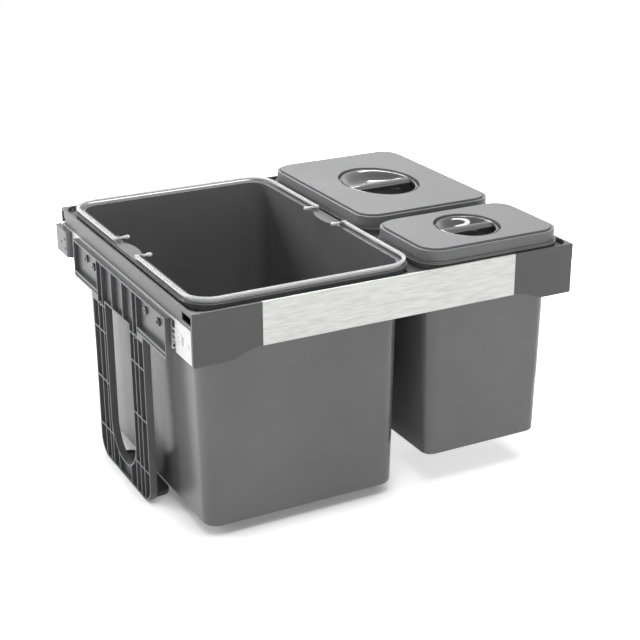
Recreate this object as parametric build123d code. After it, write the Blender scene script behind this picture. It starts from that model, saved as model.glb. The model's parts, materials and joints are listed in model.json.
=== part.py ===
from build123d import *
import os

os.makedirs("parts", exist_ok=True)

# Pull-out frame with three waste bins, closed. Lengths are in millimetres, angles in degrees.
# Each piece is drawn with X from the frame's left outer face, Y from its front face and Z from
# its top edge. place() then moves it to the part's origin, on the floor under the middle.

# Frame
frame_width = 550.0
frame_depth = 482.0
frame_top = 325.5
side_width = 16.0
side_height = 21.5
frame_wall = 2.5
rim_width = 3.5
ledge_drop = 6.0
recess_radius = 18.0
large_front_bar = 24.5
small_front_bar = 17.0
rear_bar_depth = 21.5
bar_height = 30.0
divider_width = 26.5
small_divider_width = 33.0
opening_gap = 2.5

# Corner blocks and the steel panel between them
corner_length = 92.0
corner_flat = 38.0
corner_height = 68.5
corner_curve_pull = 26.0
corner_wall = 3.0
corner_edge_radius = 1.2
panel_height = 56.5
panel_thickness = 1.0
panel_lower_edge = 0.5
backing_wall = 2.5
backing_gap = 0.2

# Openings in the outer face of each frame side
front_pocket_y = (4.5, 31.0)
front_pocket_z = (-16.0, -6.0)
rear_pocket_setback = 1.5
rear_pocket_length = 12.5
rear_pocket_step = 4.0
rear_pocket_top = 4.0
rear_pocket_step_drop = 13.0

# Ball-bearing slides, seen in section: heights from the slide's centre line
rail_height = 45.0
rail_gap_above = 0.9
slide_thickness = 12.7
travel = 410.0
slide_setback = 12.5
slide_rear_setback = 8.0
outer_rail_gauge = 1.4
outer_rail_width = 9.6
outer_lip = (1.2, 1.5)
middle_rail_start_gap = 2.0
middle_rail_end_gap = 2.0
middle_rail_web = (2.6, 3.8)
middle_rail_width = 9.0
middle_flange = 1.3
middle_lip = (1.0, 1.0)
inner_rail_start_gap = 0.5
inner_rail_end_gap = 4.0
inner_rail_gauge = 1.3
inner_rail_width = 7.3
ball_diameter = 3.5
ball_clearance = 0.05
outer_ball_x = 5.6
inner_ball_x = 8.2
balls_in_row = 10
ball_pitch = 19.0
cage_margin = 5.5
outer_cage_x = (1.65, 8.0)
inner_cage_x = (4.35, 10.3)
cage_gauge = 0.5
cage_strip = 0.8
cage_hole_clearance = 0.1
bumper_gap = 0.4
bumper_length = 5.6
bumper_half_height = 14.0
bumper_width = 7.0

# Countersunk and pan-head screws
screw_radius = 1.8
screw_head_radius = 3.7
screw_head_height = 2.2
screw_countersink = 1.1
screw_clearance = 0.1
rail_screw_length = 4.6
runner_screw_length = 4.0
plate_screw_length = 8.0
frame_screw_length = 8.0
runner_screw_shares = (0.13, 0.45, 0.82)

# White front plate on each side of the carriage
plate_setback = 5.5
plate_length = 50.0
plate_thickness = 1.5
pad_margin = 1.4
plate_tab_gap = 0.5
plate_tab_height = 4.0
band_setback = 28.5
band_length = 30.5
band_height = 16.5
band_proud = 0.5
band_finger = 2.2
plate_slot_share = 0.51
plate_slot = (12.0, 2.4)
plate_screw_share = 0.15
plate_screw_drop = 0.7
plate_hole_radius = 1.4
plate_hole_shares = ((0.79, 0.033), (0.74, -0.078))

# Side bracket on the cabinet wall
bracket_length = 345.5
bracket_height = 55.0
bracket_rise = 18.5
bracket_depth = 8.0
bracket_web = 2.0
bracket_rib = 2.4
bracket_border = 2.6
leg_setback = 81.0
leg_width = 50.0
leg_spacing = 141.0
leg_thickness = 10.0
slot_bottom_height = 24.5
leg_corner_radius = 27.0
leg_top_rib_drop = 7.1
leg_first_rib_drop = 39.5
leg_rib_pitch = 75.0
leg_rib_count = 3
front_column_shares = (0.39, 0.68)
rear_column_shares = (0.2, 0.56)
plate_rib_shares = (0.23, 0.68)
foot_rib_inset = 22.0
pad_rise = 9.4
pad_groove = (3.0, 1.2)
collar_radius = 5.4
collar_height = 2.6
leg_boss_radius = 3.6
leg_boss_hole = 1.6
wall_hole_radius = 2.6
wall_hole_insets = (35.0, 42.5)
wall_hole_rise = 0.9
wall_access_radius = 4.6
rail_screw_shares = (0.2287, 0.796)
rail_screw_rises = (0.9, -2.6)

# Foot flange of the side bracket
foot_setback = 23.0
foot_length = 140.0
foot_width = 29.0
foot_thickness = 3.1
foot_rim_height = 3.0
foot_rim_width = 2.0
foot_corner_radius = 14.0
floor_hole_radius = 2.5
floor_hole_inset = 20.5
floor_hole_spacing = 64.0
gusset_size = (15.0, 18.0)
gusset_thickness = 2.4
gusset_spacing = 44.0

# Rear block behind the bracket
rear_block_gap = 26.5
rear_block_length = 48.0
rear_block_height = 38.5
rear_block_rise = 19.9
rear_block_radius = 6.0
rear_block_hole = 1.9
rear_block_hole_shares = ((0.54, 0.47), (0.21, 0.66), (0.22, 0.3))
rear_block_screw_share = (0.71, 0.79)

# Bins
bin_draft = 1.15
bin_wall = 2.2
bin_floor = 3.0
bin_overhang = 11.0
shelf_top = 4.0
shelf_thickness = 2.0
rim_skirt = 1.8
rim_seat_gap = 0.3
rim_lip = 1.5
rim_lip_z = (0.5, 2.0)
large_bin_width = 288.0
large_bin_bottom = -312.0
large_bin_radius = 27.0
small_bin_bottom = -281.0
small_bin_radius = 22.0
front_small_length = 125.5
seam_z = -200.0
seam_step = 0.6
bin_base_radius = 6.0

# Lids and their grips
lid_inset = 1.5
lid_gap = 0.3
lid_shoulder_z = 18.5
lid_top_z = 21.0
lid_wall = 2.0
lid_panel_inset = 5.0
lid_groove = (1.2, 1.0)
collar_clearance = 0.8
collar_depth = 7.0
lid_collar_wall = 1.6
front_grip_shares = (0.2248, 0.3944)
rear_grip_shares = (0.2842, 0.2691)
grip_seat_drop = 4.5
grip_seat_width = 3.0
grip_ledge = 1.6
grip_fit = 0.3
grip_flange = 1.6
grip_wall = 2.0
grip_floor_z = 0.0
grip_bar_width = 17.0
grip_bar_top_z = 18.8
grip_bar_round = 4.5
grip_bar_front_share = 0.18
grip_trough_z = 6.0
grip_trough_share = 0.62

# Bag hoops on the large bin
hoop_inset = 0.5
hoop_width = 5.0
hoop_gap = 2.5
hoop_thickness = 3.0
hinge_setback = 176.0
hinge_spacing = 85.0
hoop_end = 2.4
pin_radius = 1.5
pin_clearance = 0.05
lug_x = (7.0, 11.0)
lug_half_length = 3.2
lug_height = 6.6
eyelet_tab = (16.5, 23.5)
eyelet_half_width = 4.0
eyelet_radius = 1.9
scallop_margin = 8.0
scallop_depth = 7.0
lug_round_share = 0.75

# Places that follow from the sizes above
rail_centre = -side_height - rail_gap_above - rail_height / 2
rail_half = rail_height / 2
plate_y = (plate_setback, plate_setback + plate_length)
bracket_start = plate_y[1] + slide_setback
bracket_y = (bracket_start, bracket_start + bracket_length)
bracket_z = (rail_centre + bracket_rise - bracket_height, rail_centre + bracket_rise)
rear_block_start = bracket_y[1] + rear_block_gap
rear_block_y = (rear_block_start, rear_block_start + rear_block_length)
outer_rail_y = (bracket_start, rear_block_y[1] - slide_rear_setback)
middle_rail_y = (outer_rail_y[0] + middle_rail_start_gap, outer_rail_y[1] - middle_rail_end_gap)
inner_rail_y = (plate_y[1] + inner_rail_start_gap, outer_rail_y[1] - inner_rail_end_gap)
outer_cage_start = outer_rail_y[0] + travel / 4 + cage_margin
inner_cage_start = middle_rail_y[0] + travel / 4 + cage_margin
runner_screw_y = [inner_rail_y[0] + share * (inner_rail_y[1] - inner_rail_y[0])
                  for share in runner_screw_shares]
plate_tab_end = bracket_start - plate_tab_gap
band_y = (plate_y[0] + band_setback, plate_y[0] + band_setback + band_length)
plate_slot_y = plate_y[0] + plate_slot_share * plate_length
plate_screw_y = plate_y[0] + plate_screw_share * plate_length
front_leg_y = (bracket_start + leg_setback, bracket_start + leg_setback + leg_width)
rear_leg_y = (front_leg_y[0] + leg_spacing, front_leg_y[1] + leg_spacing)
leg_top_rib_z = bracket_z[0] - leg_top_rib_drop
leg_cross_ribs_z = [leg_top_rib_z - leg_first_rib_drop - leg_rib_pitch * count
                    for count in range(leg_rib_count)]
front_columns_y = [front_leg_y[0] + share * leg_width for share in front_column_shares]
rear_columns_y = [rear_leg_y[0] + share * leg_width for share in rear_column_shares]
column_ribs_y = front_columns_y + rear_columns_y
slot_length = rear_leg_y[0] - front_leg_y[1]
plate_ribs_y = [front_leg_y[1] + share * slot_length for share in plate_rib_shares]
foot_ribs_y = (front_leg_y[1], front_leg_y[1] + foot_rib_inset, rear_leg_y[0] - foot_rib_inset, rear_leg_y[0])
front_pad_y = (bracket_y[0] + bracket_border, column_ribs_y[0] - bracket_rib / 2)
rear_pad_y = (column_ribs_y[-1] + bracket_rib / 2, bracket_y[1] - bracket_border)
pad_bottom_z = bracket_z[0] + pad_rise
leg_bosses_y = (sum(front_columns_y) / 2, sum(rear_columns_y) / 2)
wall_hole_y = (bracket_y[0] + wall_hole_insets[0], bracket_y[1] - wall_hole_insets[1])
wall_hole_z = rail_centre + wall_hole_rise
rail_screws_yz = [(bracket_start + share * bracket_length, rail_centre + rise)
                  for share, rise in zip(rail_screw_shares, rail_screw_rises)]
foot_y = (front_leg_y[0] + foot_setback, front_leg_y[0] + foot_setback + foot_length)
rear_block_z = (rail_centre + rear_block_rise - rear_block_height, rail_centre + rear_block_rise)
ball_gap = ball_diameter + 2 * ball_clearance
middle_half = rail_half - outer_rail_gauge - ball_gap
inner_half = middle_half - middle_flange - ball_gap
outer_ball_height = middle_half + ball_gap / 2
inner_ball_height = inner_half + ball_gap / 2
skirt_x = (slide_thickness, side_width)
pad_x = (plate_thickness, slide_thickness)
pad_z = (rail_centre - rail_half + pad_margin, -side_height)
floor_z = -frame_top
large_x = (side_width + opening_gap, side_width + opening_gap + large_bin_width)
large_y = (large_front_bar + opening_gap, frame_depth - rear_bar_depth - opening_gap)
divider_x = (large_x[1] + opening_gap, large_x[1] + opening_gap + divider_width)
small_x = (divider_x[1] + opening_gap, frame_width - side_width - opening_gap)
front_small_y = (small_front_bar + opening_gap, small_front_bar + opening_gap + front_small_length)
small_divider_y = (front_small_y[1] + opening_gap,
                   front_small_y[1] + opening_gap + small_divider_width)
rear_small_y = (small_divider_y[1] + opening_gap, large_y[1])
front_grip_radii = (front_grip_shares[0] * (small_x[1] - small_x[0]),
                    front_grip_shares[1] * front_small_length)
rear_grip_radii = (rear_grip_shares[0] * (small_x[1] - small_x[0]),
                   rear_grip_shares[1] * (rear_small_y[1] - rear_small_y[0]))
bar_screw_z = -(ledge_drop + frame_wall + bar_height) / 2
hoop_z = (shelf_top + hoop_gap, shelf_top + hoop_gap + hoop_thickness)
front_hinge_y = large_y[0] + hinge_setback
rear_hinge_y = front_hinge_y + hinge_spacing
overall_depth = rear_block_y[1]
hinge_z = (hoop_z[0] + hoop_z[1]) / 2
overrun = 1.0


def place(shape):
    return Pos(-frame_width / 2, -overall_depth / 2, frame_top) * shape


def block(x, y, z):
    # Box between low and high places along each axis
    sizes = [high - low for low, high in (x, y, z)]
    corner = (Align.MIN, Align.MIN, Align.MIN)
    return Pos(x[0], y[0], z[0]) * Box(*sizes, align=corner)


def rod_x(radius, x, y, z):
    upright = Cylinder(radius, x[1] - x[0], align=(Align.CENTER, Align.CENTER, Align.MIN))
    return Pos(x[0], y, z) * Rot(0, 90, 0) * upright


def rod_z(radius, x, y, z):
    upright = Cylinder(radius, z[1] - z[0], align=(Align.CENTER, Align.CENTER, Align.MIN))
    return Pos(x, y, z[0]) * upright


def rounded(x, y, radius, inset):
    # Rounded rectangle seen from above, drawn in by inset on every side
    centre = Pos((x[0] + x[1]) / 2, (y[0] + y[1]) / 2)
    return centre * RectangleRounded(x[1] - x[0] - 2 * inset, y[1] - y[0] - 2 * inset, radius - inset)


def slab(sketch, z):
    return extrude(Pos(0, 0, z[0]) * sketch, z[1] - z[0])


def across(sketch, x):
    # Sketch drawn with Y to the right and Z up, carried along X
    return Pos(x[0], 0, 0) * extrude(Plane.YZ * sketch, x[1] - x[0])


def along(sketch, y):
    # Sketch drawn with X to the right and Z up, carried along Y
    return Pos(0, y[1], 0) * extrude(Plane.XZ * sketch, y[1] - y[0])


def patch(first, second):
    # Rectangle between low and high places, in the sketch's own two directions
    centre = Pos((first[0] + first[1]) / 2, (second[0] + second[1]) / 2)
    return centre * Rectangle(first[1] - first[0], second[1] - second[0])


def cut_by(shape, tools):
    for tool in tools:
        shape -= tool
    return shape


def countersunk(length, clearance):
    # Screw along -Z with its flat head at the origin; a clearance makes it the tool for its hole
    head = Cone(screw_radius + clearance, screw_head_radius + clearance, screw_countersink,
                align=(Align.CENTER, Align.CENTER, Align.MAX))
    shank = Cylinder(screw_radius + clearance, length + clearance,
                     align=(Align.CENTER, Align.CENTER, Align.MAX))
    if clearance:
        return head + shank
    drive = Box(screw_radius, screw_radius, screw_countersink / 2,
                align=(Align.CENTER, Align.CENTER, Align.MAX))
    return head + shank - drive


def pan_screw(length, clearance):
    # Screw along -Z whose round head stands above the origin
    head = Cylinder(screw_head_radius, screw_head_height, align=(Align.CENTER, Align.CENTER, Align.MIN))
    drive = Pos(0, 0, screw_head_height) * Box(
        screw_head_radius, screw_countersink / 2, screw_countersink,
        align=(Align.CENTER, Align.CENTER, Align.MAX))
    shank = Cylinder(screw_radius + clearance, length + clearance,
                     align=(Align.CENTER, Align.CENTER, Align.MAX))
    if clearance:
        return shank
    return head - drive - Rot(0, 0, 90) * drive + shank


def channel(web_x, width, half_height, gauge, lip):
    # Half of a slide: a C section with its web at low X and its lips turned inwards
    lip_width, lip_height = lip
    outside = patch((web_x[0], web_x[0] + width), (-half_height, half_height))
    hollow = patch((web_x[1], web_x[0] + width - lip_width), (gauge - half_height, half_height - gauge))
    mouth_half = half_height - gauge - lip_height
    mouth = patch((web_x[1], web_x[0] + width), (-mouth_half, mouth_half))
    return Pos(0, rail_centre) * (outside - hollow - mouth)


def outer_rail():
    section = channel((0, outer_rail_gauge), outer_rail_width, rail_half, outer_rail_gauge, outer_lip)
    rail = along(section, outer_rail_y)
    rail = cut_by(rail, rail_screw_set(screw_clearance))
    for y in wall_hole_y:
        rail -= rod_x(wall_access_radius, (-overrun, outer_rail_gauge + overrun), y, wall_hole_z)
    return rail


def rear_block_place(shares):
    # Place on the rear block's face, from its front lower corner
    return rear_block_y[0] + shares[0] * rear_block_length, rear_block_z[0] + shares[1] * rear_block_height


def rail_screw_set(clearance):
    # Screws from inside the outer rail into the bracket and the rear block, heads flush in its web
    places = rail_screws_yz + [rear_block_place(rear_block_screw_share)]
    return [Pos(outer_rail_gauge, y, z) * Rot(0, 90, 0) * countersunk(rail_screw_length, clearance)
            for y, z in places]


def rail_screws():
    return rail_screw_set(0)


def rail_bumper():
    start = middle_rail_y[1] + bumper_gap
    return block((outer_rail_gauge, outer_rail_gauge + bumper_width), (start, start + bumper_length),
                 (rail_centre - bumper_half_height, rail_centre + bumper_half_height))


def middle_rail():
    section = channel(middle_rail_web, middle_rail_width, middle_half, middle_flange, middle_lip)
    return along(section, middle_rail_y)


def inner_rail():
    low = slide_thickness - inner_rail_width
    outside = patch((low, slide_thickness), (-inner_half, inner_half))
    hollow_half = inner_half - inner_rail_gauge
    hollow = patch((low, slide_thickness - inner_rail_gauge), (-hollow_half, hollow_half))
    section = Pos(0, rail_centre) * (outside - hollow)
    return cut_by(along(section, inner_rail_y), runner_screw_set(screw_clearance))


def runner_screw_set(clearance):
    # Screws that hold the inner rail to the skirt of the frame side, heads flush in its web
    face = slide_thickness - inner_rail_gauge
    return [Pos(face, y, rail_centre) * Rot(0, -90, 0) * countersunk(runner_screw_length, clearance)
            for y in runner_screw_y]


def runner_screws():
    return runner_screw_set(0)


def ball_places(start):
    return [start + ball_pitch * (count + 0.5) for count in range(balls_in_row)]


def ball_cage(cage_x, start, height, ball_x):
    half = height + cage_strip / 2
    outside = patch(cage_x, (-half, half))
    hollow_half = half - cage_strip
    hollow = patch((cage_x[0] + cage_gauge, cage_x[1]), (-hollow_half, hollow_half))
    cage = along(Pos(0, rail_centre) * (outside - hollow), (start, start + ball_pitch * balls_in_row))
    hole_z = (rail_centre - half - overrun, rail_centre + half + overrun)
    for y in ball_places(start):
        cage -= rod_z(ball_diameter / 2 + cage_hole_clearance, ball_x, y, hole_z)
    return cage


def balls(start, height, ball_x):
    return [Pos(ball_x, y, rail_centre + side * height) * Sphere(ball_diameter / 2)
            for side in (-1, 1) for y in ball_places(start)]


def outer_ball_cage():
    return ball_cage(outer_cage_x, outer_cage_start, outer_ball_height, outer_ball_x)


def outer_balls():
    return balls(outer_cage_start, outer_ball_height, outer_ball_x)


def inner_ball_cage():
    return ball_cage(inner_cage_x, inner_cage_start, inner_ball_height, inner_ball_x)


def inner_balls():
    return balls(inner_cage_start, inner_ball_height, inner_ball_x)


def legs_outline(inset):
    # Two legs joined by a round bend under the slot, in Y and Z, drawn in by inset
    top = bracket_z[1]
    outside = patch((front_leg_y[0] + inset, rear_leg_y[1] - inset), (floor_z + inset, top))
    outside = fillet(outside.vertices().sort_by(Axis.Y)[:2], leg_corner_radius - inset)
    slot_y = (front_leg_y[1] - inset, rear_leg_y[0] + inset)
    slot_radius = (slot_y[1] - slot_y[0]) / 2
    bend_z = floor_z + slot_bottom_height + (rear_leg_y[0] - front_leg_y[1]) / 2
    slot = patch(slot_y, (bend_z, bracket_z[0] + inset))
    bend = Pos((slot_y[0] + slot_y[1]) / 2, bend_z) * Circle(slot_radius)
    return outside - slot - bend


def leg_pockets():
    # Hollows between the ribs of the legs, below the cross rib under the plate
    region = legs_outline(bracket_border)
    region -= patch(bracket_y, (leg_top_rib_z - bracket_rib / 2, bracket_z[1] + overrun))
    for z in leg_cross_ribs_z:
        region -= patch(bracket_y, (z - bracket_rib / 2, z + bracket_rib / 2))
    bend_z = floor_z + slot_bottom_height + (rear_leg_y[0] - front_leg_y[1]) / 2
    for y in column_ribs_y:
        region -= patch((y - bracket_rib / 2, y + bracket_rib / 2), (floor_z, bracket_z[1]))
    for y in foot_ribs_y:
        region -= patch((y - bracket_rib / 2, y + bracket_rib / 2), (floor_z, bend_z))
    return region


def plate_pockets():
    # Hollows between the ribs of the plate, which run on to the cross rib above each leg
    top = bracket_z[1] - bracket_border
    low = leg_top_rib_z + bracket_rib / 2
    region = patch((column_ribs_y[0], column_ribs_y[-1]), (bracket_z[0] + bracket_border, top))
    region += patch((column_ribs_y[0], front_leg_y[1] - bracket_border), (low, top))
    region += patch((rear_leg_y[0] + bracket_border, column_ribs_y[-1]), (low, top))
    for y in column_ribs_y + plate_ribs_y:
        region -= patch((y - bracket_rib / 2, y + bracket_rib / 2), (low, top))
    return region


def foot_flange():
    # Flat foot that turns in under the bin, with a raised rim and two holes for floor screws
    inner_face = leg_thickness - bracket_depth
    reach = (inner_face - foot_corner_radius, inner_face + foot_width)
    outline = rounded(reach, foot_y, foot_corner_radius, 0)
    hollow = rounded(reach, foot_y, foot_corner_radius, foot_rim_width)
    beyond_face = patch((inner_face - bracket_web, reach[1]), foot_y)
    foot_top = floor_z + foot_thickness
    foot = slab(outline & beyond_face, (floor_z, foot_top + foot_rim_height))
    foot -= slab(hollow, (foot_top, foot_top + foot_rim_height + overrun))
    middle = (foot_y[0] + foot_y[1]) / 2
    for side in (-1, 1):
        y = middle + side * gusset_spacing / 2
        run, rise = gusset_size
        corner = (inner_face, foot_top)
        web = make_face(Polyline(corner, (inner_face + run, foot_top), (inner_face, foot_top + rise),
                                 close=True))
        foot += along(web, (y - gusset_thickness / 2, y + gusset_thickness / 2))
        floor_y = middle + side * floor_hole_spacing / 2
        foot -= rod_z(floor_hole_radius, inner_face + floor_hole_inset, floor_y,
                      (floor_z - overrun, foot_top + overrun))
    return foot


def side_bracket():
    outside = (-bracket_depth, 0)
    pocket = (-bracket_depth - overrun, -bracket_web)
    body = block(outside, bracket_y, bracket_z)
    legs = across(legs_outline(0), (-bracket_depth, leg_thickness - bracket_depth))
    above_legs = block((0, leg_thickness), bracket_y, (bracket_z[0], bracket_z[1] + overrun))
    body += legs - above_legs
    body -= across(leg_pockets(), pocket)
    body -= across(plate_pockets(), pocket)
    pad_top = bracket_z[1] - bracket_border
    for pad_y in (front_pad_y, rear_pad_y):
        body -= block(pocket, pad_y, (pad_bottom_z, pad_top))
        groove_height, groove_depth = pad_groove
        groove_z = (pad_bottom_z - 2 * groove_height, pad_bottom_z - groove_height)
        body -= block((-bracket_depth - overrun, groove_depth - bracket_depth), pad_y, groove_z)
    holes = [(y, wall_hole_z) for y in wall_hole_y]
    for y, z in holes + rail_screws_yz:
        body += rod_x(collar_radius, (-bracket_web - collar_height, -bracket_web), y, z)
    for y in leg_bosses_y:
        body += rod_x(leg_boss_radius, (-bracket_depth, -bracket_web), y, leg_top_rib_z)
        body -= rod_x(leg_boss_hole, (-bracket_depth - overrun, -bracket_web), y, leg_top_rib_z)
    for y, z in holes:
        body -= rod_x(wall_hole_radius, (-bracket_depth, overrun), y, z)
    for y, z in rail_screws_yz:
        body -= rod_x(screw_radius + screw_clearance, (-bracket_depth, overrun), y, z)
    return body + foot_flange()


def rear_block():
    body = block((-bracket_depth, 0), rear_block_y, rear_block_z)
    front_edges = body.edges().filter_by(Axis.Z).sort_by(Axis.Y)[:2].sort_by(Axis.X)[:1]
    body = fillet(front_edges, rear_block_radius)
    for shares in rear_block_hole_shares:
        body -= rod_x(rear_block_hole, (-bracket_depth - overrun, overrun), *rear_block_place(shares))
    return cut_by(body, rail_screw_set(screw_clearance))


def front_plate():
    top = rail_centre + rail_half
    bottom = rail_centre - rail_half
    plate = block((0, plate_thickness), plate_y, (bottom, top))
    plate += block((0, plate_thickness), (plate_y[1], plate_tab_end), (top - plate_tab_height, top))
    band_z = (rail_centre - band_height / 2, rail_centre + band_height / 2)
    band = block((-band_proud, plate_thickness), band_y, band_z)
    front = band.edges().filter_by(Axis.X).sort_by(Axis.Y)[:2]
    plate += fillet(front, band_height / 4)
    # The band runs on behind the plate as three fingers
    step = (band_height - band_finger) / 2
    for count in range(2):
        low = band_z[0] + band_finger + count * step
        plate -= block((-band_proud - overrun, plate_thickness + overrun),
                       (plate_y[1], band_y[1] + overrun), (low, low + step - band_finger))
    slot = Pos(plate_slot_y, rail_centre) * Rot(0, 0, 90) * SlotOverall(*plate_slot)
    plate -= across(slot, (-overrun, plate_thickness + overrun))
    for length_share, height_share in plate_hole_shares:
        plate -= rod_x(plate_hole_radius, (-overrun - band_proud, plate_thickness + overrun),
                       plate_y[0] + length_share * plate_length, rail_centre + height_share * rail_height)
    return plate - plate_screw_tool(screw_clearance)


def plate_screw_tool(clearance):
    return (Pos(0, plate_screw_y, rail_centre - plate_screw_drop) * Rot(0, -90, 0)
            * countersunk(plate_screw_length, clearance))


def plate_screws():
    return [plate_screw_tool(0)]


def corner_outline(inset):
    # Front view of a corner block, drawn in by inset: its flat lower edge curves up to the
    # steel panel's height
    low = inset - corner_height
    end = inset - panel_height
    right = corner_length - inset
    curve = Bezier((corner_flat, low), (corner_flat + corner_curve_pull, low),
                   (right - corner_curve_pull, end), (right, end))
    sides = Polyline((right, end), (right, -inset), (inset, -inset), (inset, low), (corner_flat, low))
    return make_face(curve + sides)


def frame_recess():
    return slab(rounded((0, frame_width), (0, frame_depth), recess_radius + rim_width, rim_width),
                (-ledge_drop, overrun))


def side_screw_places(small_side):
    # Heads lie in the hollow of the frame side: rear bar, and the small bins' divider on its side
    places = [frame_depth - rear_bar_depth / 2]
    if small_side:
        places.append((small_divider_y[0] + small_divider_y[1]) / 2)
    return places


def frame_side(front_bar, small_side):
    deck = -ledge_drop - frame_wall
    side = block((0, side_width), (0, frame_depth), (-side_height, 0))
    corner = along(corner_outline(0), (0, front_bar))
    front_edges = corner.edges().filter_by(Axis.Z).sort_by(Axis.Y)[:2]
    corner = fillet(front_edges.sort_by(Axis.X)[:1], corner_edge_radius)
    side = side + corner - frame_recess()
    core = block((frame_wall, side_width - frame_wall), (corner_wall, frame_depth - frame_wall),
                 (frame_wall - side_height, deck))
    hollow = along(corner_outline(corner_wall), (corner_wall, front_bar + overrun))
    hollow -= block((-overrun, corner_length), (0, front_bar + 2 * overrun), (deck, overrun))
    side = side - core - hollow
    side += block(skirt_x, (plate_y[0], frame_depth - rim_width), (pad_z[0], -side_height))
    side += block(pad_x, plate_y, pad_z)
    side -= block((-overrun, plate_thickness), (plate_y[0], plate_y[1] + overrun),
                  (-corner_height - overrun, -side_height))
    side -= block((-overrun, corner_wall), front_pocket_y, front_pocket_z)
    rear = frame_depth - rear_pocket_setback
    front = rear - rear_pocket_length
    side -= block((-overrun, frame_wall), (front + rear_pocket_step, rear),
                  (-rear_pocket_step_drop, -rear_pocket_top))
    side -= block((-overrun, frame_wall), (front, rear), (-side_height - overrun, -rear_pocket_step_drop))
    tools = runner_screw_set(screw_clearance) + frame_screw_tools(screw_clearance, small_side)
    return cut_by(side - plate_screw_tool(screw_clearance), tools)


def frame_screw_tools(clearance, small_side):
    # Screws from the hollow of a frame side into the bars that meet it, and through its corner block
    z = -(ledge_drop + side_height) / 2
    places = [(side_width - frame_wall, y, z) for y in side_screw_places(small_side)]
    places.append((corner_length - corner_wall, small_front_bar / 2, bar_screw_z))
    return [Pos(*where) * Rot(0, -90, 0) * pan_screw(frame_screw_length, clearance) for where in places]


def bar_screw_tools(clearance):
    # Screws that hold the two dividers: front and rear bar into the long one, and across it
    middle = (divider_x[0] + divider_x[1]) / 2
    across_y = (small_divider_y[0] + small_divider_y[1]) / 2
    front = Pos(middle, large_front_bar - frame_wall, bar_screw_z) * Rot(90, 0, 0)
    rear = Pos(middle, frame_depth - rear_bar_depth + frame_wall, bar_screw_z) * Rot(-90, 0, 0)
    side = Pos(divider_x[1] - frame_wall, across_y, bar_screw_z) * Rot(0, -90, 0)
    return [where * pan_screw(frame_screw_length, clearance) for where in (front, rear, side)]


def mirrored_in_frame(shape):
    # The same piece on the right side of the frame, before placing
    return Pos(frame_width, 0, 0) * mirror(shape, Plane.YZ)


def all_frame_screw_tools(clearance):
    left = frame_screw_tools(clearance, False)
    right = [mirrored_in_frame(tool) for tool in frame_screw_tools(clearance, True)]
    return left + right + bar_screw_tools(clearance)


def hollow_bar(x, y, z):
    # Bar open underneath, with a wall on every other side
    inside = (x[0] + frame_wall, x[1] - frame_wall), (y[0] + frame_wall, y[1] - frame_wall)
    return block(x, y, z) - block(inside[0], inside[1], (z[0] - overrun, -ledge_drop - frame_wall))


def front_crossbar():
    x = (corner_length, frame_width - corner_length)
    front = panel_thickness + backing_gap
    bottom = panel_lower_edge - panel_height
    top = -panel_thickness
    deep = hollow_bar((x[0], divider_x[1]), (front, large_front_bar), (-bar_height, top))
    shallow = hollow_bar((divider_x[1] - frame_wall, x[1]), (front, small_front_bar), (-bar_height, top))
    bar = deep + shallow
    bar -= block((divider_x[1] - 2 * frame_wall, divider_x[1] + frame_wall),
                 (front + frame_wall, small_front_bar - frame_wall),
                 (-bar_height - overrun, -ledge_drop - frame_wall))
    bar += block(x, (front, front + backing_wall), (bottom, top))
    return cut_by(bar - frame_recess(), all_frame_screw_tools(screw_clearance))


def rear_crossbar():
    bar = hollow_bar((side_width, frame_width - side_width),
                     (frame_depth - rear_bar_depth, frame_depth), (-bar_height, 0))
    return cut_by(bar - frame_recess(), all_frame_screw_tools(screw_clearance))


def centre_divider():
    bar = hollow_bar(divider_x, (large_front_bar, frame_depth - rear_bar_depth), (-bar_height, -ledge_drop))
    return cut_by(bar, all_frame_screw_tools(screw_clearance))


def small_bin_divider():
    bar = hollow_bar((divider_x[1], frame_width - side_width), small_divider_y, (-bar_height, -ledge_drop))
    return cut_by(bar, all_frame_screw_tools(screw_clearance))


def front_panel():
    x = (corner_length, frame_width - corner_length)
    panel = block(x, (0, panel_thickness), (-panel_height, 0))
    panel += block(x, (0, rim_width), (-panel_thickness, 0))
    bend = panel.edges().filter_by(Axis.X).group_by(Axis.Y)[0].sort_by(Axis.Z)[-1:]
    return fillet(bend, panel_thickness / 2)


def tub(x, y, radius, top, bottom, inset, base_radius):
    # Tapering tub: a rounded rectangle that shrinks on its way down, with a rounded base edge
    shape = extrude(Pos(0, 0, top) * rounded(x, y, radius, inset), amount=bottom - top, taper=bin_draft)
    return fillet(shape.faces().sort_by(Axis.Z)[0].edges(), base_radius)


def bin_body(x, y, radius, bottom):
    rim = -bin_overhang
    outside = tub(x, y, radius, shelf_top, bottom, 0, bin_base_radius)
    inside = tub(x, y, radius, shelf_top, bottom + bin_floor, bin_wall, bin_base_radius - bin_wall)
    skirt_bottom = rim_seat_gap - ledge_drop
    shelf = slab(rounded(x, y, radius, rim), (skirt_bottom, shelf_top))
    shelf -= slab(rounded(x, y, radius, rim + rim_skirt), (skirt_bottom, shelf_top - shelf_thickness))
    lip = rounded(x, y, radius, rim - rim_lip) - rounded(x, y, radius, rim + rim_skirt / 2)
    return outside + shelf + slab(lip, rim_lip_z) - inside


def small_bin(y):
    # Below the seam the wall stands in by a small step
    body = bin_body(small_x, y, small_bin_radius, small_bin_bottom)
    around = slab(rounded(small_x, y, small_bin_radius, -overrun), (small_bin_bottom - overrun, seam_z))
    stepped = extrude(Pos(0, 0, shelf_top) * rounded(small_x, y, small_bin_radius, seam_step),
                      amount=small_bin_bottom - overrun - shelf_top, taper=bin_draft)
    return body - (around - stepped)


def front_small_bin():
    return small_bin(front_small_y)


def rear_small_bin():
    return small_bin(rear_small_y)


def mirrored_in_large_bin(shape):
    return Pos(large_x[0] + large_x[1], 0, 0) * mirror(shape, Plane.YZ)


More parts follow.
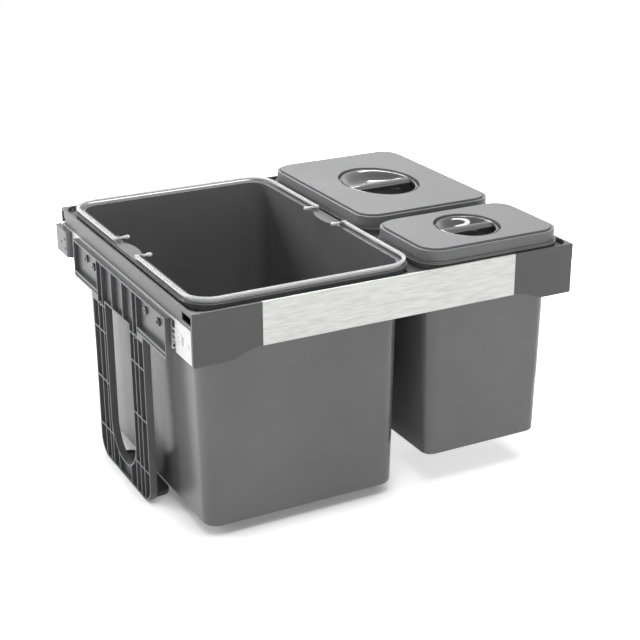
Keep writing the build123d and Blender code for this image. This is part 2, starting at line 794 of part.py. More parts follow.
def large_bin():
    # On each long side: two lugs for the hoops' pins, and between them the shelf bulges inwards
    body = bin_body(large_x, large_y, large_bin_radius, large_bin_bottom)
    rim_x = large_x[0] - bin_overhang
    mouth_x = large_x[0] + bin_wall
    bulge_y = (front_hinge_y + scallop_margin, rear_hinge_y - scallop_margin)
    half_chord = (bulge_y[1] - bulge_y[0]) / 2
    bulge_radius = (half_chord ** 2 + scallop_depth ** 2) / (2 * scallop_depth)
    shelf_z = (shelf_top - shelf_thickness, shelf_top)
    bulge = rod_z(bulge_radius, mouth_x + scallop_depth - bulge_radius, bulge_y[0] + half_chord, shelf_z)
    bulge &= block((mouth_x - bin_wall / 2, mouth_x + scallop_depth), bulge_y, shelf_z)
    extras = [bulge]
    for y in (front_hinge_y, rear_hinge_y):
        lug = block((rim_x + lug_x[0], rim_x + lug_x[1]), (y - lug_half_length, y + lug_half_length),
                    (shelf_top, shelf_top + lug_height))
        top_edges = lug.edges().filter_by(Axis.X).sort_by(Axis.Z)[-2:]
        lug = fillet(top_edges, lug_half_length * lug_round_share)
        extras.append(lug - rod_x(pin_radius + pin_clearance, (rim_x, mouth_x), y, hinge_z))
    for extra in extras:
        body += [extra, mirrored_in_large_bin(extra)]
    return body


def bag_hoop(hinge_y, front):
    # Half of the hoop that holds a bag: a flat strip over the shelf, turning on two pins,
    # each with a small tab and its eyelet inside the bin's mouth
    inset = hoop_inset - bin_overhang
    strip = rounded(large_x, large_y, large_bin_radius, inset)
    strip -= rounded(large_x, large_y, large_bin_radius, inset + hoop_width)
    keep_y = (-overrun, hinge_y + hoop_end) if front else (hinge_y - hoop_end, frame_depth)
    hoop = slab(strip & patch((0, frame_width), keep_y), hoop_z)
    rim_x = large_x[0] - bin_overhang
    strip_middle = rim_x + hoop_inset + hoop_width / 2
    tab_x = (rim_x + eyelet_tab[0], rim_x + eyelet_tab[1])
    tab_y = (hinge_y - eyelet_half_width, hinge_y + eyelet_half_width)
    tab = slab(rounded(tab_x, tab_y, eyelet_radius, 0), hoop_z)
    tab -= rod_z(eyelet_radius, (tab_x[0] + tab_x[1]) / 2, hinge_y, (0, hoop_z[1] + overrun))
    pin = rod_x(pin_radius, (strip_middle, tab_x[0] + pin_radius / 2), hinge_y, hinge_z)
    ear = tab + pin
    return hoop + [ear, mirrored_in_large_bin(ear)]


def front_bag_hoop():
    return bag_hoop(front_hinge_y, True)


def rear_bag_hoop():
    return bag_hoop(rear_hinge_y, False)


def oval(y, radii, inset):
    # Oval seen from above, in the middle of a small bin, drawn in by inset
    middle = Pos((small_x[0] + small_x[1]) / 2, (y[0] + y[1]) / 2)
    return middle * Ellipse(radii[0] - inset, radii[1] - inset)


def lid(y, grip_radii):
    edge = lid_inset - bin_overhang
    panel = edge + lid_panel_inset
    bottom = shelf_top + lid_gap
    body = slab(rounded(small_x, y, small_bin_radius, edge), (bottom, lid_shoulder_z))
    body += slab(rounded(small_x, y, small_bin_radius, panel), (lid_shoulder_z, lid_top_z))
    groove_width, groove_depth = lid_groove
    groove = rounded(small_x, y, small_bin_radius, panel - groove_width) - rounded(
        small_x, y, small_bin_radius, panel)
    body -= slab(groove, (lid_shoulder_z - groove_depth, lid_shoulder_z))
    ceiling = lid_top_z - lid_wall
    body -= slab(rounded(small_x, y, small_bin_radius, edge + lid_wall),
                 (bottom, lid_shoulder_z - lid_wall))
    body -= slab(rounded(small_x, y, small_bin_radius, panel + lid_wall), (bottom, ceiling))
    # Collar that drops inside the bin's wall
    collar = bin_wall + collar_clearance
    ring = rounded(small_x, y, small_bin_radius, collar) - rounded(
        small_x, y, small_bin_radius, collar + lid_collar_wall)
    body += slab(ring, (shelf_top - collar_depth, ceiling))
    # Oval hole for the grip, with a ledge for its flange
    seat_z = lid_top_z - grip_seat_drop
    sleeve = oval(y, grip_radii, -lid_wall)
    body += slab(sleeve, (seat_z - grip_ledge, ceiling))
    body -= slab(oval(y, grip_radii, 0), (seat_z, lid_top_z))
    return body - slab(oval(y, grip_radii, grip_seat_width), (seat_z - grip_ledge, seat_z))


def lid_grip(y, grip_radii):
    # Glossy cup that hangs in the lid, with a bar across it: open in front, a smooth trough behind
    seat_z = lid_top_z - grip_seat_drop
    outer = grip_seat_width + grip_fit
    inner = outer + grip_wall
    grip = slab(oval(y, grip_radii, grip_fit), (seat_z, seat_z + grip_flange))
    grip += slab(oval(y, grip_radii, outer), (grip_floor_z, seat_z))
    cavity = slab(oval(y, grip_radii, inner), (grip_floor_z + grip_wall, seat_z + grip_flange))
    middle_x = (small_x[0] + small_x[1]) / 2
    middle_y = (y[0] + y[1]) / 2
    bar_front = middle_y - grip_bar_front_share * grip_radii[1]
    bar_back = bar_front + grip_bar_width
    reach_x = (middle_x - grip_radii[0], middle_x + grip_radii[0])
    end_y = middle_y + grip_radii[1] - inner
    bar = block(reach_x, (bar_front, end_y), (grip_floor_z, grip_bar_top_z))
    edge = bar.edges().filter_by(Axis.X).sort_by(Axis.Z)[-2:].sort_by(Axis.Y)[:1]
    bar = fillet(edge, grip_bar_round)
    trough_radius = grip_trough_share * (end_y - bar_back)
    trough = rod_x(trough_radius, reach_x, (bar_back + end_y) / 2, grip_trough_z + trough_radius)
    trough += block(reach_x, ((bar_back + end_y) / 2, end_y + overrun),
                    (seat_z + grip_flange, grip_bar_top_z + overrun))
    return grip - cavity + (bar - trough & cavity_reach(y, grip_radii, inner))


def cavity_reach(y, grip_radii, inner):
    # Room inside the cup up to the top of the bar
    return slab(oval(y, grip_radii, inner), (grip_floor_z, grip_bar_top_z))


def front_bin_lid():
    return lid(front_small_y, front_grip_radii)


def rear_bin_lid():
    return lid(rear_small_y, rear_grip_radii)


def front_lid_grip():
    return lid_grip(front_small_y, front_grip_radii)


def rear_lid_grip():
    return lid_grip(rear_small_y, rear_grip_radii)


def left_frame_side():
    return frame_side(large_front_bar, False)


def right_frame_side():
    return mirrored_in_frame(frame_side(small_front_bar, True))


def frame_screws():
    return all_frame_screw_tools(0)


def save(name, shape):
    if isinstance(shape, list):
        shape = Compound(children=[place(solid) for solid in shape])
    else:
        shape = place(shape)
    export_step(shape, f"parts/{name}.step")


mirrored_pieces = [side_bracket, rear_block, outer_rail, rail_screws, rail_bumper, middle_rail,
                   outer_ball_cage, outer_balls, inner_ball_cage, inner_balls, inner_rail, runner_screws,
                   front_plate, plate_screws]
single_pieces = [left_frame_side, right_frame_side, front_crossbar, rear_crossbar, centre_divider,
                 small_bin_divider, front_panel, frame_screws, large_bin, front_small_bin,
                 rear_small_bin, front_bin_lid, rear_bin_lid, front_lid_grip, rear_lid_grip,
                 front_bag_hoop, rear_bag_hoop]


for piece in mirrored_pieces:
    shape = piece()
    save(f"left_{piece.__name__}", shape)
    if isinstance(shape, list):
        save(f"right_{piece.__name__}", [mirrored_in_frame(solid) for solid in shape])
    else:
        save(f"right_{piece.__name__}", mirrored_in_frame(shape))
for piece in single_pieces:
    save(piece.__name__, piece())
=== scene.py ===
import json
import math

import bmesh
import bpy
from mathutils import Matrix, Vector


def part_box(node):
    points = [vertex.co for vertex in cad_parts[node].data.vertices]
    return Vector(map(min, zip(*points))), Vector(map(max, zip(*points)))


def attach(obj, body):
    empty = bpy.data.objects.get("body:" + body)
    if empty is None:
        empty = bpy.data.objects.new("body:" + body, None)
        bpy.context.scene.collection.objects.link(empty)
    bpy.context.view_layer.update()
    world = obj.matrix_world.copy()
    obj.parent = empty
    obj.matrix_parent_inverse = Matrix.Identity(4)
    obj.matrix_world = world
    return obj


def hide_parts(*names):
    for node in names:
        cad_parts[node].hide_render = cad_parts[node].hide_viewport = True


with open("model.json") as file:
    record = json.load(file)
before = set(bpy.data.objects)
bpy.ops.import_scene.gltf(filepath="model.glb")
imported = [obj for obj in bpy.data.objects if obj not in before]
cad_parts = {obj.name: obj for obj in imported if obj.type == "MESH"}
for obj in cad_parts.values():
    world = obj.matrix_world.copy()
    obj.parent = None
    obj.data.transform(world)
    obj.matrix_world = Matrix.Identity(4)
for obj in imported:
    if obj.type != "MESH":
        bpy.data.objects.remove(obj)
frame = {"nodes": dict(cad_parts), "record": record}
nodes = frame["nodes"]
slotOf = {part["node"]: part["material_slot"] for part in frame["record"]["subparts"]}
bodyOf = {name: body for body, names in frame["record"]["behaviour"]["bodies"].items() for name in names}
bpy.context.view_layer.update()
millimetre = 0.001
print("frame loaded:", len(nodes), "nodes")


# Materials. Patterns read Object coordinates, in metres.

plasticLooks = {
    "bracket_plastic": {"colour": (0.13, 0.13, 0.134), "roughness": 0.34, "grain": 900, "depth": 0.05},
    "frame_plastic": {"colour": (0.103, 0.103, 0.106), "roughness": 0.34, "grain": 1400, "depth": 0.05},
    "bin_plastic": {"colour": (0.19, 0.19, 0.194), "roughness": 0.2, "grain": 700, "depth": 0.03},
    "lid_plastic": {"colour": (0.215, 0.215, 0.219), "roughness": 0.45, "grain": 1600, "depth": 0.06},
    "hoop_plastic": {"colour": (0.86, 0.86, 0.86), "roughness": 0.2, "grain": 900, "depth": 0.02},
    "grip_gloss": {"colour": (0.035, 0.035, 0.037), "roughness": 0.07, "grain": 300, "depth": 0.0,
                   "coat": 1.0},
    "rubber": {"colour": (0.02, 0.02, 0.021), "roughness": 0.7, "grain": 1100, "depth": 0.15},
}

metalLooks = {
    "zinc_steel": {"colour": (0.78, 0.78, 0.78), "roughness": 0.38, "metallic": 0.35, "grain": 160},
    "cage_steel": {"colour": (0.6, 0.6, 0.6), "roughness": 0.4, "metallic": 1.0, "grain": 200},
    "ball_steel": {"colour": (0.8, 0.8, 0.8), "roughness": 0.12, "metallic": 1.0, "grain": 200},
    "screw_steel": {"colour": (0.55, 0.55, 0.55), "roughness": 0.3, "metallic": 1.0, "grain": 500},
}

steelLook = {"light": (0.63, 0.635, 0.613), "dark": (0.51, 0.515, 0.493), "stops": (0.3, 0.62),
             "roughness": 0.42, "roughnessShares": (1.2, 0.8), "metallic": 0.7, "anisotropic": 0.5,
             "streakLength": 45, "streakHeight": 600, "streakDetail": 4, "depth": 0.08}

plasticPattern = {"cloud": 9, "shades": (0.93, 1.07), "stops": (0.3, 0.7), "grainDetail": 3,
                  "roughnessShares": (0.88, 1.12)}
platedPattern = {"shades": (0.92, 1.04), "stops": (0.3, 0.7), "spangleDetail": 4,
                 "roughnessShares": (0.8, 1.2)}
grainHeight = 0.0002


def newMaterial(name):
    made = bpy.data.materials.new(name)
    made.use_nodes = True
    tree = made.node_tree
    shader = tree.nodes["Principled BSDF"]
    place = tree.nodes.new("ShaderNodeTexCoord")
    return made, tree, shader, place.outputs["Object"]


def noiseFrom(tree, vector, scale, detail=2.0):
    noise = tree.nodes.new("ShaderNodeTexNoise")
    noise.inputs["Scale"].default_value = scale
    noise.inputs["Detail"].default_value = detail
    tree.links.new(vector, noise.inputs["Vector"])
    return noise.outputs["Fac"]


def rampFrom(tree, factor, stops):
    ramp = tree.nodes.new("ShaderNodeValToRGB")
    first, last = ramp.color_ramp.elements
    (first.position, low), (last.position, high) = stops
    first.color = (*low, 1)
    last.color = (*high, 1)
    tree.links.new(factor, ramp.inputs["Fac"])
    return ramp.outputs["Color"]


def rangeFrom(tree, factor, low, high, start=0.0, end=1.0):
    # Each limit is a number or another node's output
    change = tree.nodes.new("ShaderNodeMapRange")
    limits = {"From Min": start, "From Max": end, "To Min": low, "To Max": high}
    for name, limit in limits.items():
        if isinstance(limit, bpy.types.NodeSocket):
            tree.links.new(limit, change.inputs[name])
        else:
            change.inputs[name].default_value = limit
    tree.links.new(factor, change.inputs["Value"])
    return change.outputs["Result"]


def shadedStops(look, pattern):
    shades = [tuple(part * share for part in look["colour"]) for share in pattern["shades"]]
    return list(zip(pattern["stops"], shades))


def varyRoughness(tree, shader, factor, look, shares):
    low, high = (look["roughness"] * share for share in shares)
    tree.links.new(rangeFrom(tree, factor, low, high), shader.inputs["Roughness"])


def addBump(tree, shader, height, strength):
    bump = tree.nodes.new("ShaderNodeBump")
    bump.inputs["Strength"].default_value = strength
    bump.inputs["Distance"].default_value = grainHeight
    tree.links.new(height, bump.inputs["Height"])
    tree.links.new(bump.outputs["Normal"], shader.inputs["Normal"])


def mouldedPlastic(name, look):
    # Slow cloud in the colour, fine spark-eroded grain in the surface
    made, tree, shader, place = newMaterial(name)
    cloud = noiseFrom(tree, place, plasticPattern["cloud"])
    tree.links.new(rampFrom(tree, cloud, shadedStops(look, plasticPattern)), shader.inputs["Base Color"])
    grain = noiseFrom(tree, place, look["grain"], plasticPattern["grainDetail"])
    varyRoughness(tree, shader, grain, look, plasticPattern["roughnessShares"])
    if look["depth"]:
        addBump(tree, shader, grain, look["depth"])
    if "coat" in look:
        shader.inputs["Coat Weight"].default_value = look["coat"]
    return made


def platedMetal(name, look):
    # Faint spangle, as the plating leaves it
    made, tree, shader, place = newMaterial(name)
    spangle = noiseFrom(tree, place, look["grain"], platedPattern["spangleDetail"])
    tree.links.new(rampFrom(tree, spangle, shadedStops(look, platedPattern)), shader.inputs["Base Color"])
    varyRoughness(tree, shader, spangle, look, platedPattern["roughnessShares"])
    shader.inputs["Metallic"].default_value = look["metallic"]
    return made


def brushedPanel(name, look):
    # Short streaks that run along the panel
    made, tree, shader, place = newMaterial(name)
    stretch = tree.nodes.new("ShaderNodeMapping")
    across = look["streakHeight"]
    stretch.inputs["Scale"].default_value = (look["streakLength"], across, across)
    tree.links.new(place, stretch.inputs["Vector"])
    streak = noiseFrom(tree, stretch.outputs["Vector"], scale=1, detail=look["streakDetail"])
    stops = list(zip(look["stops"], (look["dark"], look["light"])))
    tree.links.new(rampFrom(tree, streak, stops), shader.inputs["Base Color"])
    varyRoughness(tree, shader, streak, look, look["roughnessShares"])
    shader.inputs["Metallic"].default_value = look["metallic"]
    shader.inputs["Anisotropic"].default_value = look["anisotropic"]
    addBump(tree, shader, streak, look["depth"])
    return made


materials = {name: mouldedPlastic(name, look) for name, look in plasticLooks.items()}
materials.update({name: platedMetal(name, look) for name, look in metalLooks.items()})
materials["brushed_panel"] = brushedPanel("brushed_panel", steelLook)
for name, node in nodes.items():
    node.data.materials.clear()
    node.data.materials.append(materials[slotOf[name]])
print("materials made:", len(materials))


# Shared ways of making a piece

def linked(name, data):
    made = bpy.data.objects.new(name, data)
    bpy.context.scene.collection.objects.link(made)
    return made


def applied(made):
    # Turns the object's modifiers into plain mesh
    bpy.context.view_layer.update()
    graph = bpy.context.evaluated_depsgraph_get()
    mesh = bpy.data.meshes.new_from_object(made.evaluated_get(graph), preserve_all_data_layers=True,
                                           depsgraph=graph)
    made.modifiers.clear()
    made.data = mesh


def standsFor(made, name):
    # Gives the piece the finish and body of the node it replaces, and hides that node
    if not made.data.materials:
        made.data.materials.append(materials[slotOf[name]])
    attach(made, bodyOf[name])
    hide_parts(name)


def spun(work, outline, centre, axis, sides, ring=False):
    # Spins pairs of radius and height about an axis; the outline of a ring meets itself
    side = axis.orthogonal().normalized()
    across = axis.cross(side)
    turns = [2 * math.pi * step / sides for step in range(sides)]
    spokes = [side * math.cos(turn) + across * math.sin(turn) for turn in turns]
    rows = [[work.verts.new(centre + axis * height + spoke * radius) for spoke in spokes]
            for radius, height in outline]
    joinRows(work, rows, ring)


def joinRows(work, rows, ring=False):
    # Closed rows of points, one after another, with a face over each end unless they form a ring
    following = rows[1:] + rows[:1] if ring else rows[1:]
    for row, after in zip(rows, following):
        for step in range(len(row)):
            onward = (step + 1) % len(row)
            work.faces.new((row[step], row[onward], after[onward], after[step]))
    if not ring:
        work.faces.new(reversed(rows[0]))
        work.faces.new(rows[-1])


# Moulded and folded pieces: the edges get the small round that the mould or the press leaves

softEdges = {
    "left_side_bracket": 0.45, "right_side_bracket": 0.45, "left_rear_block": 0.5, "right_rear_block": 0.5,
    "left_frame_side": 0.6, "right_frame_side": 0.6, "front_crossbar": 0.6, "rear_crossbar": 0.6,
    "centre_divider": 0.6, "small_bin_divider": 0.6, "front_panel": 0.25,
    "left_front_plate": 0.25, "right_front_plate": 0.25,
    "large_bin": 0.4, "front_small_bin": 0.4, "rear_small_bin": 0.4,
    "front_bin_lid": 0.5, "rear_bin_lid": 0.5,
}
softLook = {"mergeWithin": 0.02, "flatBelow": 0.2, "sharpAbove": 32, "steps": 2}


def softened(name, width):
    mesh = nodes[name].data.copy()
    if "custom_normal" in mesh.attributes:
        mesh.attributes.remove(mesh.attributes["custom_normal"])
    work = bmesh.new()
    work.from_mesh(mesh)
    bmesh.ops.remove_doubles(work, verts=work.verts, dist=softLook["mergeWithin"] * millimetre)
    bmesh.ops.dissolve_limit(work, angle_limit=math.radians(softLook["flatBelow"]), verts=work.verts,
                             edges=work.edges)
    # Outer edges get a round; inner corners stay crisp
    weight = work.edges.layers.float.new("bevel_weight_edge")
    sharp = math.radians(softLook["sharpAbove"])
    for edge in work.edges:
        turn = edge.calc_face_angle_signed(0)
        edge[weight] = 1.0 if turn > sharp else 0.0
        edge.smooth = turn > -sharp
    for face in work.faces:
        face.smooth = True
    work.to_mesh(mesh)
    work.free()
    made = linked(name + "_moulding", mesh)
    edges = made.modifiers.new("edges", "BEVEL")
    edges.width = width * millimetre
    edges.segments = softLook["steps"]
    edges.limit_method = "WEIGHT"
    edges.use_clamp_overlap = False
    made.modifiers.new("shading", "WEIGHTED_NORMAL").keep_sharp = True
    applied(made)
    standsFor(made, name)


for name, width in softEdges.items():
    softened(name, width)
print("edges rounded:", len(softEdges))


# Bag hoops: a shallow channel with a bead along each side, swept round the large bin's rim

hoopLook = {"width": 5.0, "thickness": 3.0, "bead": 0.75, "groove": 1.8, "cornerRadius": 37.5,
            "cornerSteps": 20, "endPast": 2.4, "knuckle": 2.5, "knuckleRound": 0.6, "knuckleLength": 5.5,
            "pin": 1.9, "pinFrom": 4.0, "pinTo": 17.0, "ringAt": 19.5, "ringRadius": 2.7, "ringTube": 1.5,
            "ringTall": 2.1, "sides": 28, "tubeSides": 12, "beadSteps": 6}


def sweepTree():
    # A profile drawn along a path with rounded corners
    tree = bpy.data.node_groups.new("sweptProfile", "GeometryNodeTree")
    inputs = (("Path", "NodeSocketGeometry"), ("Profile", "NodeSocketObject"),
              ("Corner Radius", "NodeSocketFloat"), ("Corner Steps", "NodeSocketInt"),
              ("Finish", "NodeSocketMaterial"))
    for name, kind in inputs:
        tree.interface.new_socket(name, in_out="INPUT", socket_type=kind)
    tree.interface.new_socket("Swept", in_out="OUTPUT", socket_type="NodeSocketGeometry")
    kinds = {"given": "NodeGroupInput", "result": "NodeGroupOutput", "path": "GeometryNodeMeshToCurve",
             "corners": "GeometryNodeFilletCurve", "upright": "GeometryNodeSetCurveNormal",
             "drawn": "GeometryNodeObjectInfo", "profile": "GeometryNodeMeshToCurve",
             "sweep": "GeometryNodeCurveToMesh", "real": "GeometryNodeRealizeInstances",
             "finish": "GeometryNodeSetMaterial"}
    part = {name: tree.nodes.new(kind) for name, kind in kinds.items()}
    part["corners"].mode = "POLY"
    part["upright"].mode = "Z_UP"
    part["sweep"].inputs["Fill Caps"].default_value = True
    links = (("given", "Path", "path", "Mesh"), ("path", "Curve", "corners", "Curve"),
             ("given", "Corner Radius", "corners", "Radius"), ("given", "Corner Steps", "corners", "Count"),
             ("corners", "Curve", "upright", "Curve"), ("upright", "Curve", "sweep", "Curve"),
             ("given", "Profile", "drawn", "Object"), ("drawn", "Geometry", "profile", "Mesh"),
             ("profile", "Curve", "sweep", "Profile Curve"), ("sweep", "Mesh", "real", "Geometry"),
             ("real", "Geometry", "finish", "Geometry"), ("given", "Finish", "finish", "Material"),
             ("finish", "Geometry", "result", "Swept"))
    for source, output, target, into in links:
        tree.links.new(part[source].outputs[output], part[target].inputs[into])
    return tree


def outlineObject(name, points, closed):
    mesh = bpy.data.meshes.new(name)
    count = len(points)
    edges = [(step, step + 1) for step in range(count - 1)] + ([(count - 1, 0)] if closed else [])
    mesh.from_pydata(points, edges, [])
    return linked(name, mesh)


def hoopProfile(look):
    # One half, from under its edge over the bead and into the groove, then mirrored; minus Y is up
    half, bead = look["width"] / 2, look["bead"]
    under, top = look["thickness"] / 2, -look["thickness"] / 2
    turns = [math.pi * step / look["beadSteps"] for step in range(look["beadSteps"] + 1)]
    beadPoints = [(half - bead + bead * math.cos(turn), top + bead - bead * math.sin(turn))
                  for turn in turns]
    right = [(half - bead / 2, under), (half, under - bead / 2), *beadPoints,
             (half - 2 * bead, top + look["groove"])]
    left = [(-x, y) for x, y in reversed(right)]
    return [(x * millimetre, y * millimetre, 0) for x, y in right + left]


def hoop(name, tree, profile, front):
    low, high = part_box(name)
    half = hoopLook["width"] / 2 * millimetre
    level = (low.z + high.z) / 2
    past = hoopLook["endPast"] * millimetre
    hingeY, spanY = (high.y - past, low.y + half) if front else (low.y + past, high.y - half)
    leftX, rightX = low.x + half, high.x - half
    made = outlineObject(name + "_moulding", [(leftX, hingeY, level), (leftX, spanY, level),
                                              (rightX, spanY, level), (rightX, hingeY, level)], False)
    sweep = made.modifiers.new("sweep", "NODES")
    sweep.node_group = tree
    values = {"Profile": profile, "Corner Radius": hoopLook["cornerRadius"] * millimetre - half,
              "Corner Steps": hoopLook["cornerSteps"], "Finish": materials[slotOf[name]]}
    for socket in tree.interface.items_tree:
        if socket.in_out == "INPUT" and socket.name in values:
            sweep[socket.identifier] = values[socket.name]
    applied(made)
    work = bmesh.new()
    work.from_mesh(made.data)
    for sideX, inward in ((low.x, 1), (high.x, -1)):
        hingeEnd(work, Vector((sideX, hingeY, level)), Vector((inward, 0, 0)))
    bmesh.ops.recalc_face_normals(work, faces=work.faces)
    work.to_mesh(made.data)
    work.free()
    made.data.shade_smooth()
    made.data.set_sharp_from_angle(angle=math.radians(softLook["sharpAbove"]))
    standsFor(made, name)


def hingeEnd(work, start, axis):
    # Round knuckle, pin and eyelet ring, one after another along the hinge line
    radius, corner = hoopLook["knuckle"], hoopLook["knuckleRound"]
    knuckle = [(radius - corner, 0), (radius, corner), (radius, hoopLook["knuckleLength"] - corner),
               (radius - corner, hoopLook["knuckleLength"])]
    pin = [(hoopLook["pin"], hoopLook["pinFrom"]), (hoopLook["pin"], hoopLook["pinTo"])]
    for outline in (knuckle, pin):
        spun(work, [(size * millimetre, at * millimetre) for size, at in outline], start, axis,
             hoopLook["sides"])
    turns = [2 * math.pi * step / hoopLook["tubeSides"] for step in range(hoopLook["tubeSides"])]
    tube = [((hoopLook["ringRadius"] + hoopLook["ringTube"] * math.cos(turn)) * millimetre,
             hoopLook["ringTall"] * math.sin(turn) * millimetre) for turn in turns]
    ringCentre = start + axis * hoopLook["ringAt"] * millimetre
    spun(work, tube, ringCentre, Vector((0, 0, 1)), hoopLook["sides"], ring=True)


sweptProfile = sweepTree()
channel = outlineObject("hoopProfile", hoopProfile(hoopLook), True)
hoop("front_bag_hoop", sweptProfile, channel, True)
hoop("rear_bag_hoop", sweptProfile, channel, False)
bpy.data.objects.remove(channel)
print("hoops swept")


# Lid grips: a glossy cup with a rounded lip and a bar across, a hollow in front and a trough behind

gripLook = {"lipInset": 4.6, "lipRadius": 1.5, "lipHeight": 17.9, "lipSteps": 12, "flangeTop": 17.4,
            "seat": 16.5, "sleeveInset": 3.1, "wallInset": 6.1, "floor": 2.0, "corner": 1.6,
            "sides": 128, "barFrontShare": 0.18, "barWidth": 12.0, "barTop": 19.0, "barFall": 3.2,
            "barEdge": 0.8, "edgeSteps": 5, "crownSteps": 10, "troughDepth": 10.5, "troughRoll": 1.8,
            "troughSteps": 30, "sections": 80, "sharpAbove": 48}


def gripCup(work, centre, radii, base):
    look = gripLook
    turns = [math.pi * step / look["lipSteps"] for step in range(look["lipSteps"] + 1)]
    lip = [(look["lipInset"] + look["lipRadius"] * math.cos(turn),
            look["lipHeight"] + look["lipRadius"] * math.sin(turn)) for turn in turns]
    corner = look["corner"]
    inside = [(look["wallInset"] + corner, look["floor"]), (look["wallInset"], look["floor"] + corner)]
    flange = [(look["sleeveInset"], look["flangeTop"]), (corner / 4, look["flangeTop"]),
              (0, look["flangeTop"] - corner / 4), (0, look["seat"]), (look["sleeveInset"], look["seat"]),
              (look["sleeveInset"], corner / 2), (look["sleeveInset"] + corner / 2, 0)]
    around = [2 * math.pi * step / look["sides"] for step in range(look["sides"])]
    rows = []
    for inset, height in inside + lip + flange:
        across, deep = (radius - inset * millimetre for radius in radii)
        rows.append([work.verts.new((centre.x + across * math.cos(turn), centre.y + deep * math.sin(turn),
                                     base + height * millimetre)) for turn in around])
    joinRows(work, rows)


def gripBar(work, centre, radii, base):
    # Sections of bar and trough along X; the trough grows shallow where the cup leaves it less room
    look = gripLook
    across, deep = (radius - look["wallInset"] * millimetre for radius in radii)
    barFront = -look["barFrontShare"] * radii[1]
    barBack = barFront + look["barWidth"] * millimetre
    fullRoom = deep - barBack
    rows = []
    for step in range(1, look["sections"]):
        turn = math.pi * step / look["sections"]
        x, wall = -across * math.cos(turn), deep * math.sin(turn)
        front, back = max(barFront, -wall), min(barBack, wall)
        section = barSection(look, front, back, wall, max(0.0, (wall - back) / fullRoom))
        rows.append([work.verts.new((centre.x + x, centre.y + y, base + height)) for y, height in section])
    joinRows(work, rows)


def barSection(look, front, back, wall, roomShare):
    top, edge = look["barTop"] * millimetre, look["barEdge"] * millimetre
    fall, foot = look["barFall"] * millimetre, look["floor"] / 2 * millimetre
    depth = look["troughDepth"] * millimetre * roomShare ** 2 * (3 - 2 * roomShare)
    points = [(front, foot)]
    for step in range(look["edgeSteps"] + 1):
        turn = math.pi / 2 * step / look["edgeSteps"]
        points.append((front + edge * (1 - math.cos(turn)), top - fall - edge * (1 - math.sin(turn))))
    for step in range(1, look["crownSteps"] + 1):
        share = step / look["crownSteps"]
        points.append((front + edge + (back - front - edge) * share, top - fall * (1 - share) ** 2))
    for step in range(1, look["troughSteps"] + 1):
        share = step / look["troughSteps"]
        sunk = depth * math.sin(math.pi * share) ** look["troughRoll"]
        points.append((back + (wall - back) * share, top - sunk))
    return points + [(wall, foot)]


def grip(name):
    low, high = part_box(name)
    centre, radii = (low + high) / 2, ((high.x - low.x) / 2, (high.y - low.y) / 2)
    work = bmesh.new()
    gripCup(work, centre, radii, low.z)
    gripBar(work, centre, radii, low.z)
    bmesh.ops.recalc_face_normals(work, faces=work.faces)
    mesh = bpy.data.meshes.new(name + "_insert")
    work.to_mesh(mesh)
    work.free()
    mesh.shade_smooth()
    mesh.set_sharp_from_angle(angle=math.radians(gripLook["sharpAbove"]))
    standsFor(linked(mesh.name, mesh), name)


grip("front_lid_grip")
grip("rear_lid_grip")
print("grips modelled")


# Camera, from the photograph's viewpoint

cameraLook = {"place": (-0.8677, -1.7067, 0.9460), "azimuth": -27.517, "elevation": 21.757,
              "roll": -0.266, "lens": 81.28, "sensor": 36}


def addCamera(look):
    azimuth, elevation, roll = (math.radians(look[key]) for key in ("azimuth", "elevation", "roll"))
    back = Vector((math.sin(azimuth) * math.cos(elevation), -math.cos(azimuth) * math.cos(elevation),
                   math.sin(elevation)))
    right = Vector((math.cos(azimuth), math.sin(azimuth), 0))
    up = back.cross(right)
    across = right * math.cos(roll) + up * math.sin(roll)
    turned = (across, up * math.cos(roll) - right * math.sin(roll), back)
    data = bpy.data.cameras.new("camera")
    data.sensor_width = look["sensor"]
    data.lens = look["lens"]
    camera = linked("camera", data)
    camera.matrix_world = Matrix.Translation(look["place"]) @ Matrix(turned).transposed().to_4x4()
    bpy.context.scene.camera = camera


addCamera(cameraLook)


# Light, floor and background

studio = {"front": 1.33, "behind": 0.36, "zenith": 0.1, "fadeAt": 0.4,
          "floorSize": 6.0, "floorShade": 0.9,
          "glowNear": 0.7, "glowFar": 1.0, "nearEdge": 0.45, "farEdge": 1.1,
          # Painted contact shadow on the floor's glow: its reach, darkest share and occlusion range
          "paintedShadowReach": 0.05, "paintedShadowDark": 0.25, "paintedShadowFrom": 0.3, "paintedShadowTo": 0.85}
lamps = {
    "leftLamp": {"place": (-2.6, 2.0, 1.3), "wide": 1.0, "tall": 1.0, "power": 42},
    "backLamp": {"place": (0.6, 3.0, 3.0), "wide": 3.0, "tall": 0.8, "power": 92},
    "topLamp": {"place": (0.3, -0.5, 2.6), "wide": 2.8, "tall": 0.4, "power": 37},
}
lampAim = Vector((0, 0, 0.2))


def addLamp(name, look):
    data = bpy.data.lights.new(name, "AREA")
    data.shape = "RECTANGLE"
    data.size, data.size_y = look["wide"], look["tall"]
    data.energy = look["power"]
    lamp = linked(name, data)
    lamp.location = look["place"]
    lamp.rotation_euler = (lampAim - lamp.location).to_track_quat("-Z", "Y").to_euler()


def mathOf(tree, operation, first, second):
    result = tree.nodes.new("ShaderNodeMath")
    result.operation = operation
    tree.links.new(first, result.inputs[0])
    tree.links.new(second, result.inputs[1])
    return result.outputs[0]


def seenDirectly(tree):
    # 1 for what is looked at, mirrored or seen through glass; 0 for the diffuse light it gives
    path = tree.nodes.new("ShaderNodeLightPath")
    mirrored = mathOf(tree, "MAXIMUM", path.outputs["Is Camera Ray"], path.outputs["Is Glossy Ray"])
    return mathOf(tree, "MAXIMUM", mirrored, path.outputs["Is Transmission Ray"])


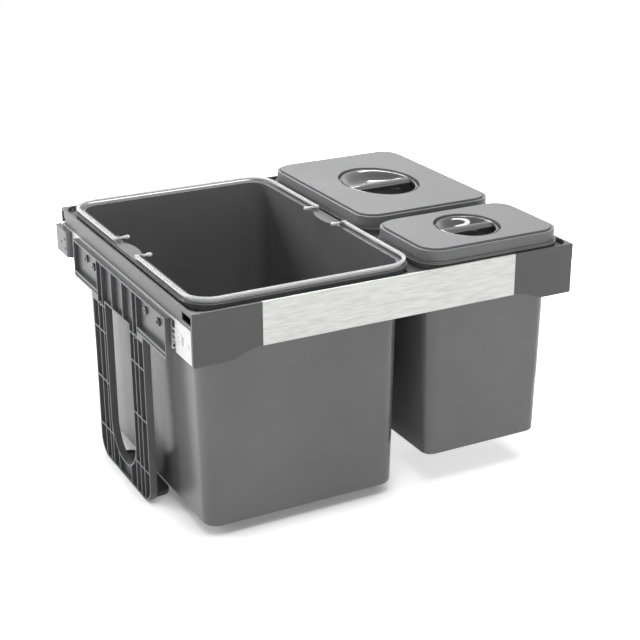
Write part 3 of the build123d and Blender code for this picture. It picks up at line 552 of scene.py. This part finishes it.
def setWorld(look):
    # Lights most from the front near the horizon, and is plain white to whatever looks at it
    world = bpy.data.worlds.new("studio")
    bpy.context.scene.world = world
    world.use_nodes = True
    tree = world.node_tree
    background = tree.nodes["Background"]
    background.inputs["Color"].default_value = (1, 1, 1, 1)
    place = tree.nodes.new("ShaderNodeTexCoord")
    split = tree.nodes.new("ShaderNodeSeparateXYZ")
    tree.links.new(place.outputs["Generated"], split.inputs["Vector"])
    horizon = rangeFrom(tree, split.outputs["Y"], look["front"], look["behind"], -1.0)
    level = rangeFrom(tree, split.outputs["Z"], horizon, look["zenith"], 0.0, look["fadeAt"])
    shown = rangeFrom(tree, seenDirectly(tree), level, 1.0)
    tree.links.new(shown, background.inputs["Strength"])


def addFloor(look):
    # Pale floor that takes the lamps' shadows; its glow gives no diffuse light, dims near the object, and
    # carries a painted contact shadow from ambient occlusion close to the object
    half = look["floorSize"] / 2
    mesh = bpy.data.meshes.new("floor")
    corners = [(-half, -half, 0), (half, -half, 0), (half, half, 0), (-half, half, 0)]
    mesh.from_pydata(corners, [], [(0, 1, 2, 3)])
    floor = linked("floor", mesh)
    made, tree, shader, place = newMaterial("floor")
    shader.inputs["Roughness"].default_value = 1.0
    shader.inputs["Specular IOR Level"].default_value = 0.0
    shader.inputs["Emission Color"].default_value = (1, 1, 1, 1)
    shader.inputs["Base Color"].default_value = (look["floorShade"],) * 3 + (1,)
    away = tree.nodes.new("ShaderNodeVectorMath")
    away.operation = "LENGTH"
    tree.links.new(place, away.inputs[0])
    glow = rangeFrom(tree, away.outputs["Value"], look["glowNear"], look["glowFar"], look["nearEdge"],
                     look["farEdge"])
    # Painted contact shadow: ambient occlusion darkens the floor's glow close to the object
    shadowOcclusion = tree.nodes.new("ShaderNodeAmbientOcclusion")
    shadowOcclusion.inputs["Distance"].default_value = look["paintedShadowReach"]
    paintedContactShadow = rangeFrom(tree, shadowOcclusion.outputs["AO"], look["paintedShadowDark"], 1.0, look["paintedShadowFrom"],
                        look["paintedShadowTo"])
    glowWithPaintedShadow = mathOf(tree, "MULTIPLY", glow, paintedContactShadow)
    tree.links.new(mathOf(tree, "MULTIPLY", glowWithPaintedShadow, seenDirectly(tree)), shader.inputs["Emission Strength"])
    mesh.materials.append(made)


setWorld(studio)
addFloor(studio)
for name, look in lamps.items():
    addLamp(name, look)
bpy.context.scene.view_settings.view_transform = "Standard"
print("studio ready")
